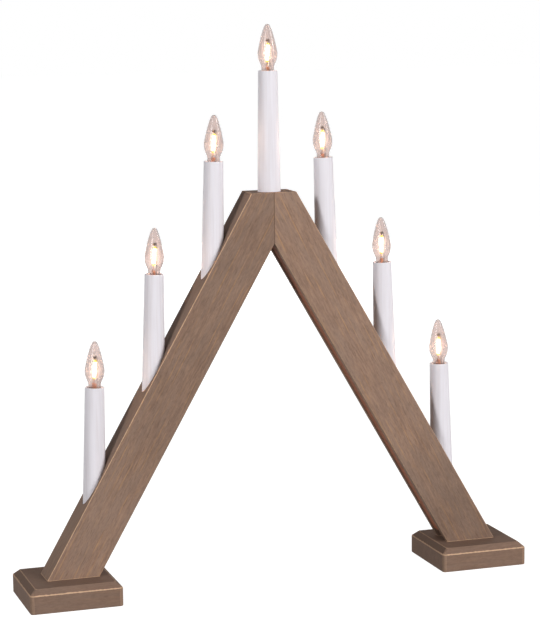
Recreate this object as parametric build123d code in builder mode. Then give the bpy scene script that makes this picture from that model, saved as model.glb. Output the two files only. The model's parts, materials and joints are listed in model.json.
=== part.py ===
import os
from math import cos, radians, sin, tan

from build123d import *

# Candle arch: two leaning boards on plinth feet carry seven screw-in candle bulbs.
# Millimetres. X runs along the arch, Y from front to back, Z up from the floor.
# Candles are numbered from the lower right, over the top, to the lower left.

# Boards
board_angle = 60.0  # degrees from the floor
board_width = 40.0  # across the slope
board_thickness = 28.0  # front to back
inner_half_span = 162.5  # centre line to a board's inner edge on its foot
apex_flat_length = 40.9  # the flat cut on top, along X
board_edge_round = 0.8
overrun = 5.0  # how far a cutting solid stands past what it cuts

# Wiring channel under each board, closed by a strip in a rebate
strip_width = 16.0
strip_thickness = 3.0
strip_recess = 1.0
strip_side_gap = 0.15
strip_foot_gap = 9.0  # open end of the channel, where the lead comes in
channel_width = 12.0
channel_depth = 6.0  # above the strip

# Feet
foot_length = 81.0
foot_depth = 78.6
foot_height = 21.0
foot_chamfer_run = 5.5
foot_chamfer_drop = 4.9
foot_corner_round = 3.0
foot_top_corner_round = 1.5
foot_edge_round = 0.8
foot_offset = 2.8  # the foot's centre lies this far outside the board's

# Fixings
dowel_diameter = 6.0
dowel_length = 30.0
dowel_spacing = 19.0  # front to back
dowel_chamfer = 0.8
dowel_end_gap = 1.0
fixing_gap = 0.05  # around dowels and screws in their holes
screw_diameter = 4.0
screw_length = 45.0
screw_head_diameter = 8.0
screw_head_angle = 90.0
screw_head_recess = 0.4
screw_point_length = 5.0
screw_spacing = 16.0
screw_inset = 3.0  # screws stand this far inside the board's centre on the foot

# Candles
candle_count = 7
candle_lean = 1.5  # degrees, tops inwards, all but the top candle
first_candle_x = 52.2  # where the candle's axis meets the board's outer face
lowest_candle_inset = 46.7  # from there to the board's outer edge on its foot, along X
tube_rim_diameter = 16.8
tube_base_diameter = 20.2
tube_length = 118.0
tube_base_length = 13.7  # straight, below the taper
side_seat_depth = 35.1  # board face to the tube's lower end, along the axis
top_seat_depth = 13.7
tube_wall = 1.3
tube_rim_round = 0.4
tube_bore_gap = 0.4  # around the tube's straight base in its bore
wire_hole_diameter = 10.0

# Lampholders, measured down from the tube rim
holder_top_drop = 1.6
holder_height = 18.4
holder_tube_gap = 0.15
holder_ledge_diameter = 11.2
holder_ledge_height = 1.5
holder_floor_drop = 15.0
holder_floor_thickness = 2.5
holder_recess_diameter = 10.4
holder_mouth_chamfer = 0.5
shell_inner_diameter = 9.7
shell_wall = 0.3
shell_top_drop = 3.4
shell_floor_hole_diameter = 4.2
shell_holder_gap = 0.1
contact_diameter = 3.2
contact_thickness = 0.4
rivet_diameter = 1.6
terminal_diameter = 1.4
terminal_spacing = 5.6  # front to back
terminal_drop = 19.0  # wires meet the terminals here
terminal_hole_gap = 0.05
lug_width = 2.2
lug_thickness = 0.5

# Bulbs
bulb_height = 39.8  # glass above the tube rim
bulb_diameter = 17.1
glass_wall = 0.7
glass_throat_end = 0.3  # above the rim, below the straight stretch that sits in the tube's mouth
neck_diameter = 8.6
neck_drop = 1.7  # where the straight neck starts
neck_length = 4.2
cap_diameter = 9.53
cap_wall = 0.3
cap_collar_diameter = 10.1
cap_collar_height = 1.0
cap_top_drop = 1.9
cap_thread_end_drop = 11.9
cap_end_drop = 13.3
cap_end_diameter = 6.8
cap_end_hole_diameter = 5.5
button_gap = 0.05  # around the insulating button in the cap's end
button_flange_diameter = 6.4
button_flange_height = 0.4
button_end_drop = 13.7
tip_diameter = 3.0
# Control points: height as a share of the bulb's, radius as a share of its largest
glass_flank_shares = ((0.981, 0.204), (0.904, 0.553), (0.41, 1.0), (0.389, 1.0))
glass_shoulder_shares = ((0.389, 1.0), (0.171, 1.0), (0.154, 0.642), (0.059, 0.642))

# Filament and stem in each bulb, heights above the tube rim
stem_flare_height = 0.6
stem_neck_gap = 0.05
stem_taper_height = 2.6
stem_diameter = 3.6
stem_top = 3.4
stem_press_thickness = 1.4
stem_press_height = 3.6
filament_diameter = 1.5
filament_bottom = 5.8
filament_length = 16.4
lead_diameter = 0.5
lead_spacing = 1.8
lead_bow = 1.9  # the long lead's distance from the filament
lead_hook_rise = 2.8  # above the filament's top
lead_bend = 0.7

# Wiring
wire_diameter = 1.6
wire_bend_diameters = 3.0  # the tightest turn, in wire diameters
link_level = 5.6  # depth of the link wires from the board's inner face
return_level = 7.2  # depth of the far lowest holder's wire
far_shift_share = 0.5  # of a tube's length, in which that wire moves to mid-channel
splice_diameter = 2.6
splice_length = 14.0
splice_wall = 0.45
splice_engagement = 7.0
far_end_inset = 34.0  # far wire's end to the foot, along the slope
near_lead_length = 50.0  # the near wire ends inside its tube

# Worked out from the sizes above
top_candle = (candle_count + 1) // 2
slope = radians(board_angle)
strip_depth = strip_recess + strip_thickness
channel_top = strip_depth + channel_depth
inner_apex_height = foot_height + inner_half_span * tan(slope)
board_run = board_width / sin(slope)  # a board's length on its foot
outer_half_span = inner_half_span + board_run
foot_x = inner_half_span + board_run / 2 + foot_offset
apex_height = foot_height + (outer_half_span - apex_flat_length / 2) * tan(slope)
candle_pitch_x = (outer_half_span - lowest_candle_inset - first_candle_x) / (top_candle - 2)
tube_taper_length = tube_length - tube_base_length
tube_bore_diameter = tube_base_diameter + 2 * tube_bore_gap
shell_outer_diameter = shell_inner_diameter + 2 * shell_wall
wire_bend = wire_bend_diameters * wire_diameter
rim_height = apex_height + tube_length - top_seat_depth
channel_ceiling = inner_apex_height + channel_top / cos(slope)
dowel_height = (rim_height - tube_length + channel_ceiling) / 2

os.makedirs("parts", exist_ok=True)
node_count = 0


def save(builder, name):
    """Label a finished piece and write it as one STEP file."""
    global node_count
    node_count += 1
    builder.part.label = name
    export_step(builder.part, f"parts/{name}.step")


def depth_plane(side, depth):
    """Plane parallel to a board's inner face, at a depth into the wood."""
    normal = Vector(side * sin(slope), 0, cos(slope))
    return Plane(origin=Vector(side * inner_half_span, 0, foot_height) + normal * depth, z_dir=normal)


def band(low, high):
    """Outline of the right board between two depths, from its foot to the mitre."""
    return [
        (inner_half_span + low / sin(slope), foot_height),
        (inner_half_span + high / sin(slope), foot_height),
        (0, inner_apex_height + high / cos(slope)),
        (0, inner_apex_height + low / cos(slope)),
    ]


def candle_place(number):
    """Location of a candle's rim centre, with Z along its axis and Y to the back."""
    step = top_candle - number
    if step == 0:
        return Location((0, 0, rim_height))
    side = 1 if step > 0 else -1
    x = first_candle_x + (abs(step) - 1) * candle_pitch_x
    z = foot_height + (outer_half_span - x) * tan(slope)
    axis = Vector(-side * sin(radians(candle_lean)), 0, cos(radians(candle_lean)))
    rim = Vector(side * x, 0, z) + axis * (tube_length - side_seat_depth)
    return Plane(origin=rim, x_dir=Vector(axis.Z, 0, -axis.X), z_dir=axis).location


candle_numbers = range(1, candle_count + 1)
places = {number: candle_place(number) for number in candle_numbers}


def drop_to_depth(start, place, side, depth):
    """Where a line down a candle's axis direction meets a depth in a board."""
    return depth_plane(side, depth).intersect(Axis(start, Plane(place).z_dir * -1))


def terminal(number, row):
    """Where a wire meets a lampholder; row is 1 at the back, -1 at the front."""
    local = Location((0, row * terminal_spacing / 2, -terminal_drop))
    return (places[number] * local).position


# The right board, its bores, wire holes and wiring channel; the left one mirrors it
with BuildPart() as right_board:
    with BuildSketch(Plane.XZ):
        Polygon(*band(0, board_width), align=None)
    extrude(amount=board_thickness / 2, both=True)
    split(bisect_by=Plane.XY.offset(apex_height), keep=Keep.BOTTOM)
    long_edges = right_board.edges().filter_by(Plane.XZ).filter_by(
        lambda edge: edge.center().X > board_edge_round and edge.center().Z > foot_height + board_edge_round
    )
    top_corner = right_board.edges().filter_by(Axis.Y).group_by(Axis.Z)[-1].sort_by(Axis.X)[-1]
    fillet([*long_edges, top_corner], board_edge_round)
    for number in range(1, top_candle + 1):
        hole_end = drop_to_depth(places[number].position, places[number], 1, strip_depth)
        with Locations(places[number]):
            CounterBoreHole(
                radius=wire_hole_diameter / 2,
                counter_bore_radius=tube_bore_diameter / 2,
                counter_bore_depth=tube_length,
                depth=(places[number].position - hole_end).length,
            )
    with BuildSketch(Plane.XZ):
        Polygon(*band(-overrun, channel_top), align=None)
    extrude(amount=channel_width / 2, both=True, mode=Mode.SUBTRACT)
    with BuildSketch(Plane.XZ):
        Polygon(*band(-overrun, strip_depth), align=None)
    extrude(amount=strip_width / 2, both=True, mode=Mode.SUBTRACT)
    with Locations(*[(0, y, dowel_height) for y in (-dowel_spacing / 2, dowel_spacing / 2)]):
        Cylinder(
            radius=dowel_diameter / 2 + fixing_gap,
            height=dowel_length + 2 * dowel_end_gap,
            rotation=(0, 90, 0),
            mode=Mode.SUBTRACT,
        )
    with BuildSketch(Plane.XY):
        with GridLocations(0, screw_spacing, 1, 2):
            with Locations((foot_x - foot_offset - screw_inset, 0)):
                Circle(screw_diameter / 2 + fixing_gap)
    extrude(amount=screw_head_recess + screw_length, mode=Mode.SUBTRACT)
save(right_board, "right_board")

with BuildPart() as left_board:
    mirror(right_board.part, about=Plane.YZ)
save(left_board, "left_board")

# The dowels across the mitre
with BuildPart() as mitre_dowels:
    with Locations(*[(0, y, dowel_height) for y in (-dowel_spacing / 2, dowel_spacing / 2)]):
        Cylinder(radius=dowel_diameter / 2, height=dowel_length, rotation=(0, 90, 0))
    chamfer(mitre_dowels.edges().filter_by(GeomType.CIRCLE), dowel_chamfer)
save(mitre_dowels, "mitre_dowels")

# The strips that close the wiring channels
with BuildPart() as right_cover_strip:
    with BuildSketch(Plane.XZ):
        Polygon(*band(strip_recess, strip_depth), align=None)
    extrude(amount=strip_width / 2 - strip_side_gap, both=True)
    up_slope = Vector(-cos(slope), 0, sin(slope))
    strip_end = Vector(inner_half_span, 0, foot_height) + up_slope * strip_foot_gap
    split(bisect_by=Plane(origin=strip_end, z_dir=up_slope), keep=Keep.TOP)
save(right_cover_strip, "right_cover_strip")

with BuildPart() as left_cover_strip:
    mirror(right_cover_strip.part, about=Plane.YZ)
save(left_cover_strip, "left_cover_strip")

# Where the foot screws stand on the underside of the right foot, heads down
screw_places = [
    Plane(origin=(foot_x - foot_offset - screw_inset, y, 0), z_dir=(0, 0, -1)).location
    for y in (-screw_spacing / 2, screw_spacing / 2)
]

# A plinth with a chamfered top and screw holes from below
with BuildPart() as right_foot:
    with BuildSketch(Plane.XY):
        with Locations((foot_x, 0)):
            RectangleRounded(foot_length, foot_depth, foot_corner_round)
    extrude(amount=foot_height - foot_chamfer_drop)
    with BuildSketch(Plane.XY.offset(foot_height - foot_chamfer_drop)) as chamfer_start:
        with Locations((foot_x, 0)):
            RectangleRounded(foot_length, foot_depth, foot_corner_round)
    with BuildSketch(Plane.XY.offset(foot_height)) as chamfer_end:
        with Locations((foot_x, 0)):
            RectangleRounded(
                foot_length - 2 * foot_chamfer_run,
                foot_depth - 2 * foot_chamfer_run,
                foot_top_corner_round,
            )
    loft([chamfer_start.sketch, chamfer_end.sketch], ruled=True)
    bottom_outline, _, chamfer_outline, _, top_outline = right_foot.edges().group_by(Axis.Z)
    fillet(bottom_outline + chamfer_outline + top_outline, foot_edge_round)
    with Locations(*screw_places):
        CounterSinkHole(
            radius=screw_diameter / 2 + fixing_gap,
            counter_sink_radius=screw_head_diameter / 2 + screw_head_recess,
            depth=foot_height,
            counter_sink_angle=screw_head_angle,
        )
save(right_foot, "right_foot")

with BuildPart() as left_foot:
    mirror(right_foot.part, about=Plane.YZ)
save(left_foot, "left_foot")

# One countersunk wood screw, head up at the origin, then one in each screw place
with BuildPart() as foot_screw:
    with BuildSketch(Plane.XZ):
        with BuildLine():
            shank = screw_diameter / 2
            head = screw_head_diameter / 2
            Polyline(
                (0, -screw_head_recess),
                (head, -screw_head_recess),
                (shank, -screw_head_recess - (head - shank) / tan(radians(screw_head_angle / 2))),
                (shank, screw_point_length - screw_length - screw_head_recess),
                (0, -screw_length - screw_head_recess),
                close=True,
            )
        make_face()
    revolve(axis=Axis.Z)

with BuildPart() as foot_screws:
    with Locations(*screw_places):
        add(foot_screw.part)
    mirror(about=Plane.YZ)
save(foot_screws, "foot_screws")

# A candle tube: tapered, with a straight base and a ledge for its lampholder
with BuildPart() as candle_tube:
    with BuildSketch(Plane.XZ):
        with BuildLine():
            rim = tube_rim_diameter / 2
            base = tube_base_diameter / 2
            holder_bottom = holder_top_drop + holder_height
            ledge_bottom = holder_bottom + holder_ledge_height
            flare = (base - rim) / tube_taper_length
            Polyline(
                (rim - tube_wall, 0),
                (rim, 0),
                (base, -tube_taper_length),
                (base, -tube_length),
                (base - tube_wall, -tube_length),
                (base - tube_wall, -tube_taper_length),
                (rim - tube_wall + ledge_bottom * flare, -ledge_bottom),
                (holder_ledge_diameter / 2, -ledge_bottom),
                (holder_ledge_diameter / 2, -holder_bottom),
                (rim - tube_wall, -holder_bottom),
                close=True,
            )
        make_face()
    revolve(axis=Axis.Z)
    rim_edges = candle_tube.edges().filter_by(GeomType.CIRCLE).group_by(Axis.Z)[-1]
    fillet(rim_edges, tube_rim_round)

# The moulded lampholder body
with BuildPart() as lampholder:
    with BuildSketch(Plane.XZ):
        with BuildLine():
            body = tube_rim_diameter / 2 - tube_wall - holder_tube_gap
            bore = shell_outer_diameter / 2 + shell_holder_gap
            holder_bottom = holder_top_drop + holder_height
            Polyline(
                (bore + holder_mouth_chamfer, -holder_top_drop),
                (body, -holder_top_drop),
                (body, -holder_bottom),
                (holder_recess_diameter / 2, -holder_bottom),
                (holder_recess_diameter / 2, -holder_floor_drop - holder_floor_thickness),
                (0, -holder_floor_drop - holder_floor_thickness),
                (0, -holder_floor_drop),
                (bore, -holder_floor_drop),
                (bore, -holder_top_drop - holder_mouth_chamfer),
                close=True,
            )
        make_face()
    revolve(axis=Axis.Z)
    with BuildSketch(Plane.XY.offset(-holder_floor_drop)):
        Circle(rivet_diameter / 2 + terminal_hole_gap)
        with Locations((0, -terminal_spacing / 2)):
            Circle(terminal_diameter / 2 + terminal_hole_gap)
    extrude(amount=-holder_floor_thickness, mode=Mode.SUBTRACT)

# The brass shell, with a floor ring and the front terminal pin
with BuildPart() as holder_shell:
    with BuildSketch(Plane.XZ):
        with BuildLine():
            inner = shell_inner_diameter / 2
            outer = shell_outer_diameter / 2
            Polyline(
                (inner, -shell_top_drop),
                (outer, -shell_top_drop),
                (outer, -holder_floor_drop),
                (shell_floor_hole_diameter / 2, -holder_floor_drop),
                (shell_floor_hole_diameter / 2, shell_wall - holder_floor_drop),
                (inner, shell_wall - holder_floor_drop),
                close=True,
            )
        make_face()
    revolve(axis=Axis.Z)
    with BuildSketch(Plane.XY.offset(-holder_floor_drop)):
        with Locations((0, -terminal_spacing / 2)):
            Circle(terminal_diameter / 2)
    extrude(amount=holder_floor_drop - terminal_drop)

# The centre contact, riveted through the floor to a lug with the back terminal pin
with BuildPart() as holder_contact:
    with BuildSketch(Plane.XY.offset(-holder_floor_drop)):
        Circle(contact_diameter / 2)
    extrude(amount=contact_thickness)
    with BuildSketch(Plane.XY.offset(-holder_floor_drop)):
        Circle(rivet_diameter / 2)
    extrude(amount=-holder_floor_thickness - lug_thickness)
    with BuildSketch(Plane.XY.offset(-holder_floor_drop - holder_floor_thickness)):
        with Locations((0, terminal_spacing / 4)):
            SlotCenterToCenter(terminal_spacing / 2, lug_width, rotation=90)
    extrude(amount=-lug_thickness)
    with BuildSketch(Plane.XY.offset(-holder_floor_drop - holder_floor_thickness)):
        with Locations((0, terminal_spacing / 2)):
            Circle(terminal_diameter / 2)
    extrude(amount=holder_floor_drop + holder_floor_thickness - terminal_drop)


def glass_points(shares, wall):
    """Control points of a stretch of the bulb's outline, drawn in by a wall."""
    largest = bulb_diameter / 2
    height = bulb_height - wall
    return [(radius * largest - wall, share * height) for share, radius in shares]


# The clear bulb, blown thin, with a straight neck that goes into the cap
with BuildPart() as bulb_glass:
    with BuildSketch(Plane.XZ):
        with BuildLine():
            neck = neck_diameter / 2
            for wall in (0, glass_wall):
                flank = Bezier(*glass_points(glass_flank_shares, wall))
                shoulder = Bezier(*glass_points(glass_shoulder_shares, wall))
                TangentArc((0, bulb_height - wall), flank @ 0, tangent=(1, 0))
                throat = shoulder @ 1
                Polyline(
                    throat,
                    (throat.X, glass_throat_end),
                    (neck - wall, -neck_drop),
                    (neck - wall, -neck_drop - neck_length),
                )
            Line((0, bulb_height), (0, bulb_height - glass_wall))
            Line((neck, -neck_drop - neck_length), (neck - glass_wall, -neck_drop - neck_length))
        make_face()
    revolve(axis=Axis.Z)

# The screw cap, a thin metal cup with a hole for the insulating button
with BuildPart() as bulb_cap:
    with BuildSketch(Plane.XZ):
        with BuildLine():
            thread = cap_diameter / 2
            collar = cap_collar_diameter / 2
            end = cap_end_diameter / 2
            collar_end = cap_top_drop + cap_collar_height
            Polyline(
                (thread - cap_wall, -cap_top_drop),
                (collar, -cap_top_drop),
                (collar, -collar_end),
                (thread, -collar_end),
                (thread, -cap_thread_end_drop),
                (end, -cap_end_drop),
                (cap_end_hole_diameter / 2, -cap_end_drop),
                (cap_end_hole_diameter / 2, cap_wall - cap_end_drop),
                (end, cap_wall - cap_end_drop),
                (thread - cap_wall, cap_wall - cap_thread_end_drop),
                close=True,
            )
        make_face()
    revolve(axis=Axis.Z)

# The insulating button with the tip contact
with BuildPart() as bulb_contact:
    with BuildSketch(Plane.XZ):
        with BuildLine():
            button = cap_end_hole_diameter / 2 - button_gap
            flange = button_flange_diameter / 2
            seat = cap_end_drop - cap_wall
            tip_drop = holder_floor_drop - contact_thickness
            Polyline(
                (0, button_flange_height - seat),
                (flange, button_flange_height - seat),
                (flange, -seat),
                (button, -seat),
                (button, -button_end_drop),
                (tip_diameter / 2, -button_end_drop),
                (tip_diameter / 2, -tip_drop),
                (0, -tip_drop),
                close=True,
            )
        make_face()
    revolve(axis=Axis.Z)

# The glass stem with its press, two lead wires and the filament stick
with BuildPart() as bulb_filament:
    with BuildSketch(Plane.XZ):
        with BuildLine():
            flare = neck_diameter / 2 - glass_wall - stem_neck_gap
            stem = stem_diameter / 2
            stem_bottom = -neck_drop - neck_length
            press_bottom = stem_top - stem_press_height
            Polyline(
                (0, stem_bottom),
                (flare, stem_bottom),
                (flare, stem_bottom + stem_flare_height),
                (stem, stem_bottom + stem_flare_height + stem_taper_height),
                (stem, press_bottom),
                (0, press_bottom),
                close=True,
            )
        make_face()
    revolve(axis=Axis.Z)
    with BuildSketch(Plane.XY.offset(press_bottom)):
        Rectangle(stem_diameter, stem_press_thickness)
    extrude(amount=stem_press_height)
    filament_top = filament_bottom + filament_length
    with BuildSketch(Plane.XY.offset(filament_bottom)):
        Circle(filament_diameter / 2)
    extrude(amount=filament_length)
    with BuildLine() as short_lead:
        FilletPolyline(
            (-lead_spacing / 2, 0, stem_top),
            (-lead_spacing / 2, 0, (stem_top + filament_bottom) / 2),
            (0, 0, filament_bottom),
            radius=[lead_bend],
        )
    with BuildSketch(short_lead.line ^ 0):
        Circle(lead_diameter / 2)
    sweep(path=short_lead.line)
    with BuildLine() as long_lead:
        FilletPolyline(
            (lead_spacing / 2, 0, stem_top),
            (lead_spacing / 2, 0, (stem_top + filament_bottom) / 2),
            (lead_bow, 0, filament_bottom),
            (lead_bow, 0, filament_top + lead_hook_rise),
            (0, 0, filament_top + lead_hook_rise),
            (0, 0, filament_top),
            radius=[lead_bend] * 4,
        )
    with BuildSketch(long_lead.line ^ 0):
        Circle(lead_diameter / 2)
    sweep(path=long_lead.line)

# One of each candle piece in its own node at each candle
candle_pieces = {
    "candle_tube": candle_tube,
    "lampholder": lampholder,
    "bulb_glass": bulb_glass,
    "bulb_cap": bulb_cap,
    "bulb_contact": bulb_contact,
    "bulb_filament": bulb_filament,
}
for piece_name, piece in candle_pieces.items():
    for number in candle_numbers:
        with BuildPart() as placed_piece:
            with Locations(places[number]):
                add(piece.part)
        save(placed_piece, f"{piece_name}_{number}")

# The seven shells and the seven centre contacts, each kind in one node
with BuildPart() as holder_shells:
    with Locations(*places.values()):
        add(holder_shell.part)
save(holder_shells, "holder_shells")

with BuildPart() as holder_contacts:
    with Locations(*places.values()):
        add(holder_contact.part)
save(holder_contacts, "holder_contacts")


# The routes of the wires that join neighbours: down a tube, along, and up the next
link_routes = []
for first in range(1, candle_count):
    row = 1 if first % 2 else -1
    side = 1 if first < top_candle else -1
    upper, lower = (first + 1, first) if side > 0 else (first, first + 1)
    link_routes.append(
        [
            terminal(upper, row),
            drop_to_depth(terminal(upper, row), places[upper], side, link_level),
            drop_to_depth(terminal(lower, row), places[lower], side, link_level),
            terminal(lower, row),
        ]
    )

# The near lowest holder's wire hangs straight in its tube
near_start = terminal(1, -1)
near_down = Plane(places[1]).z_dir * -1
near_end = near_start + near_down * near_lead_length

# The route from the far lowest holder, shifted to mid-channel and over the apex
far_start = terminal(candle_count, 1)
far_down = Plane(places[candle_count]).z_dir * -1
far_shift = tube_length * far_shift_share
far_high = far_start + far_down * (far_shift / 2)
far_low = far_start + far_down * far_shift
far_low = Vector(far_low.X, 0, far_low.Z)
over_apex = Vector(0, 0, inner_apex_height + return_level / cos(slope))
far_end = depth_plane(1, return_level).origin + up_slope * far_end_inset
far_turn = drop_to_depth(far_low, places[candle_count], -1, return_level)
far_route = [far_start, far_high, far_low, far_turn, over_apex, far_end]

with BuildPart() as link_wires:
    for points in link_routes:
        with BuildLine() as route:
            FilletPolyline(*points, radius=[2 * wire_bend, wire_bend])
        with BuildSketch(route.line ^ 0):
            Circle(wire_diameter / 2)
        sweep(path=route.line)
save(link_wires, "link_wires")

with BuildPart() as supply_wires:
    with BuildSketch(Plane(origin=near_start, z_dir=near_down)):
        Circle(wire_diameter / 2)
    extrude(amount=near_lead_length)
    with BuildLine() as far_wire:
        FilletPolyline(*far_route, radius=[2 * wire_bend, 2 * wire_bend, wire_bend, wire_bend])
    with BuildSketch(far_wire.line ^ 0):
        Circle(wire_diameter / 2)
    sweep(path=far_wire.line)
save(supply_wires, "supply_wires")

# A sleeve on each supply wire's end, open to take a core of the lead
with BuildPart() as wire_splices:
    for wire_end, outwards in ((near_end, near_down), (far_end, up_slope * -1)):
        sleeve_start = wire_end - outwards * splice_engagement
        with BuildSketch(Plane(origin=sleeve_start, z_dir=outwards)):
            Circle(splice_diameter / 2)
            Circle(splice_diameter / 2 - splice_wall, mode=Mode.SUBTRACT)
        extrude(amount=splice_length)
save(wire_splices, "wire_splices")

print(f"{node_count} nodes")
print(f"overall width {2 * (foot_x + foot_length / 2):.1f}, height {rim_height + bulb_height:.1f}")
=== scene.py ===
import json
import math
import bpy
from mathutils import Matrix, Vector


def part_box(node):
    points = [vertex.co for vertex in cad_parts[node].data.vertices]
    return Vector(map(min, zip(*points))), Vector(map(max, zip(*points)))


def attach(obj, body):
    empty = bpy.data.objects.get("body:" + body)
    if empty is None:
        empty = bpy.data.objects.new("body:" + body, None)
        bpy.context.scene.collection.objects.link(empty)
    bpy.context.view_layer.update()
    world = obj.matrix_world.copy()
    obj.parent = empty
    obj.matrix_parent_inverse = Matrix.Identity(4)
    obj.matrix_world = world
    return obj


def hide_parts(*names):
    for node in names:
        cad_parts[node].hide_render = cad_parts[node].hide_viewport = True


bl_info = {
    "name": "Candle Arch",
    "version": (1, 0, 0),
    "blender": (4, 5, 0),
    "location": "3D View > Sidebar > Candle Arch",
    "description": "Wood, tubes and screw-in bulbs for an arch of seven electric candles",
    "category": "Add Mesh",
}

import bpy
from bpy.props import FloatProperty, FloatVectorProperty, IntProperty, PointerProperty
from mathutils import Matrix, Vector

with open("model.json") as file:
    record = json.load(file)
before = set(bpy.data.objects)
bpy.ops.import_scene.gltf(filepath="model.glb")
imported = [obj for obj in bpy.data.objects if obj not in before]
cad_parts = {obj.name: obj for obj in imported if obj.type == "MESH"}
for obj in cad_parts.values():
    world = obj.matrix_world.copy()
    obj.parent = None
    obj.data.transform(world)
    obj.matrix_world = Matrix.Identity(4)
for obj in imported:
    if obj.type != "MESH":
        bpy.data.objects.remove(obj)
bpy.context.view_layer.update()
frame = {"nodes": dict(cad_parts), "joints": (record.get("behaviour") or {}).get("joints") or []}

MM = 0.001
CANDLES = range(1, 8)
TOP_CANDLE = 4

# Boards and feet.
SLOPE = math.radians(60)
BOARD_WIDTH = 40 * MM
BOARD_EDGE_ROUND = 0.8 * MM
FOOT_CHAMFER_RUN = 5.5 * MM
FOOT_CHAMFER_DROP = 4.9 * MM
FOOT_CORNER_ROUND = 3 * MM
WOOD_SPECULAR = 0.14
GRAIN_RELIEF = 0.12 * MM

# Fibres in the wood: noise scale along the grain, scale across it, detail and roughness.
FINE_FIBRES = (130.0, 1050.0, 3.0, 0.65)
STREAKS = (60.0, 480.0, 3.0, 0.6)
BROAD_BANDS = (15.0, 120.0, 2.0, 0.5)
RING_SWAY = (9.0, 40.0, 2.0, 0.5)
RING_JAGS = (85.0, 200.0, 3.0, 0.6)
RING_BREAKS = (34.0, 230.0, 2.0, 0.5)
FLECKS = (240.0, 640.0, 2.0, 0.6)
SWAY_REACH = 14 * MM
JAG_REACH = 3.2 * MM

# What differs between the boards: the pith's place in depth and across, the grain's slant, the tone at the
# foot and higher up, and how much bare wood and painted highlight the inner and outer edges get. Each foot's
# grain starts at its own shift.
BOARDS = {
    "right": {
        "side": 1, "pith": (34 * MM, -52 * MM), "slant": 0.055, "tones": (0.86, 1.13), "rubbed_and_lit": (0.35, 0.5),
    },
    "left": {
        "side": -1, "pith": (-46 * MM, 74 * MM), "slant": 0.02, "tones": (1.14, 0.94), "rubbed_and_lit": (0.1, 1.0),
    },
}
FOOT_PITH = (8 * MM, -60 * MM)
FOOT_SHIFTS = {"right": 0.58, "left": 0.16}

# The rolled thread, the screw cap and the brass shell that it runs in.
THREAD_PITCH = 1.814 * MM
THREAD_FADE = 0.6 * MM
CAP_THREAD_RADIUS = 4.765 * MM
CAP_THREAD_DEPTH = 0.38 * MM
CAP_THREAD_STEPS = 56
CAP_INSIDE = 4.32 * MM
CAP_EDGE = 0.15 * MM
CAP_CONE_HEIGHT = 1.4 * MM
CAP_CONE_RADIUS = 3.45 * MM
CAP_RING_RADIUS = 3.3 * MM
CAP_RING_HOLE = 2.78 * MM
CAP_WALL = 0.3 * MM
SHELL_TOP, SHELL_FLOOR = -3.4 * MM, -15.0 * MM
SHELL_INSIDE = 4.85 * MM
SHELL_WALL = 0.3 * MM
SHELL_HOLE = 2.1 * MM
SHELL_THREAD_DEPTH = 0.28 * MM
SHELL_THREAD_STEPS = 60
SAME_RADIUS = 0.01 * MM

# The lit stick inside a bulb.
STICK_RADIUS = 1.15 * MM
STICK_HALF_LENGTH = 8.1 * MM
STICK_END_ROUND = 0.3 * MM
STICK_MIDDLE = 15.4 * MM
STICK_LEAN = math.radians(3.5)
SMALL_SEGMENTS = 24

# Turned pieces inside a bulb, as millimetres from the axis and above the tube's rim.
AXIS = 0.02
CLAMP_OUTLINE = ((AXIS, 26.5), (0.9, 26.4), (1.2, 26.0), (1.2, 25.0), (0.9, 24.6), (AXIS, 24.5))
BEAD_OUTLINE = (
    (AXIS, 3.6), (0.6, 3.5), (1.0, 3.15), (1.25, 2.5), (1.35, 1.6), (1.35, 0.6), (1.3, -0.4), (1.2, -1.0),
    (AXIS, -1.0),
)
STEM_OUTLINE = (
    (AXIS, -1.02), (1.6, -1.02), (1.7, -1.6), (1.9, -2.6), (2.6, -4.4), (3.5, -5.5), (3.5, -5.9),
    (AXIS, -5.9),
)

# Wires inside a bulb, as millimetres to the side and above the tube's rim.
SUPPORT_WIRE_BENDS = (
    (2.0, -1), (2.1, 2.9), (2.2, 4.6), (2.1, 7), (2.1, 14), (2.1, 22), (1.9, 26), (0.9, 27), (0.3, 26.2),
    (0.45, 22.9),
)
SUPPORT_WIRE_THICKNESS = 0.6 * MM
LEAD_WIRE_BENDS = ((-1.9, -1), (-1.95, 2.2), (-1.5, 3.9), (-0.5, 4.6), (-0.25, 6), (-0.5, 7.8))
LEAD_WIRE_THICKNESS = 0.75 * MM

# The studio. Each lamp has its place, its size, the setting and share of its power, and whether only gloss
# and glass show it.
CAMERA_PLACE = (-0.56396, -1.72492, 0.51581)
CAMERA_FORWARD = (0.30677, 0.93929, -0.15373)
CAMERA_RIGHT = (0.94995, -0.31217, -0.01176)
CAMERA_LENS = 117.572
CAMERA_SENSOR = 36
FLOOR_REACH = 12
FLOOR_DROP = 0.05 * MM
LAMP_TARGET = (0, 0, 0.22)
LAMPS = {
    "key_lamp": ((1.4, -2.1, 0.9), (1.7, 1.4), "key", 1.0, False),
    "side_lamp": ((-1.55, -0.66, 0.84), (0.18, 0.5), "side", 1.0, False),
    "back_lamp": ((0.4, 2.5, 0.35), (2.2, 1.0), "back", 1.0, False),
    "left_box": ((-1.36, -0.85, 0.85), (0.36, 1.9), "soft_boxes", 0.85, True),
    "right_box": ((1.5, -0.67, 1.45), (0.46, 1.3), "soft_boxes", 1.0, True),
}


def paint(red, green, blue):
    """A colour as scene-linear numbers, from its display values of 0 to 255."""
    def linear(value):
        share = value / 255
        return share / 12.92 if share <= 0.04045 else ((share + 0.055) / 1.055) ** 2.4

    return tuple(linear(value) for value in (red, green, blue))


def shaded(tint, share):
    """A colour made darker, or lighter where the share is over 1."""
    return [share * value for value in tint]


def colour(name, description, display):
    return FloatVectorProperty(
        name=name, description=description, subtype="COLOR", size=3, min=0, max=1, default=paint(*display)
    )


def length(name, description, millimetres):
    return FloatProperty(name=name, description=description, unit="LENGTH", min=0, default=millimetres * MM)


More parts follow.
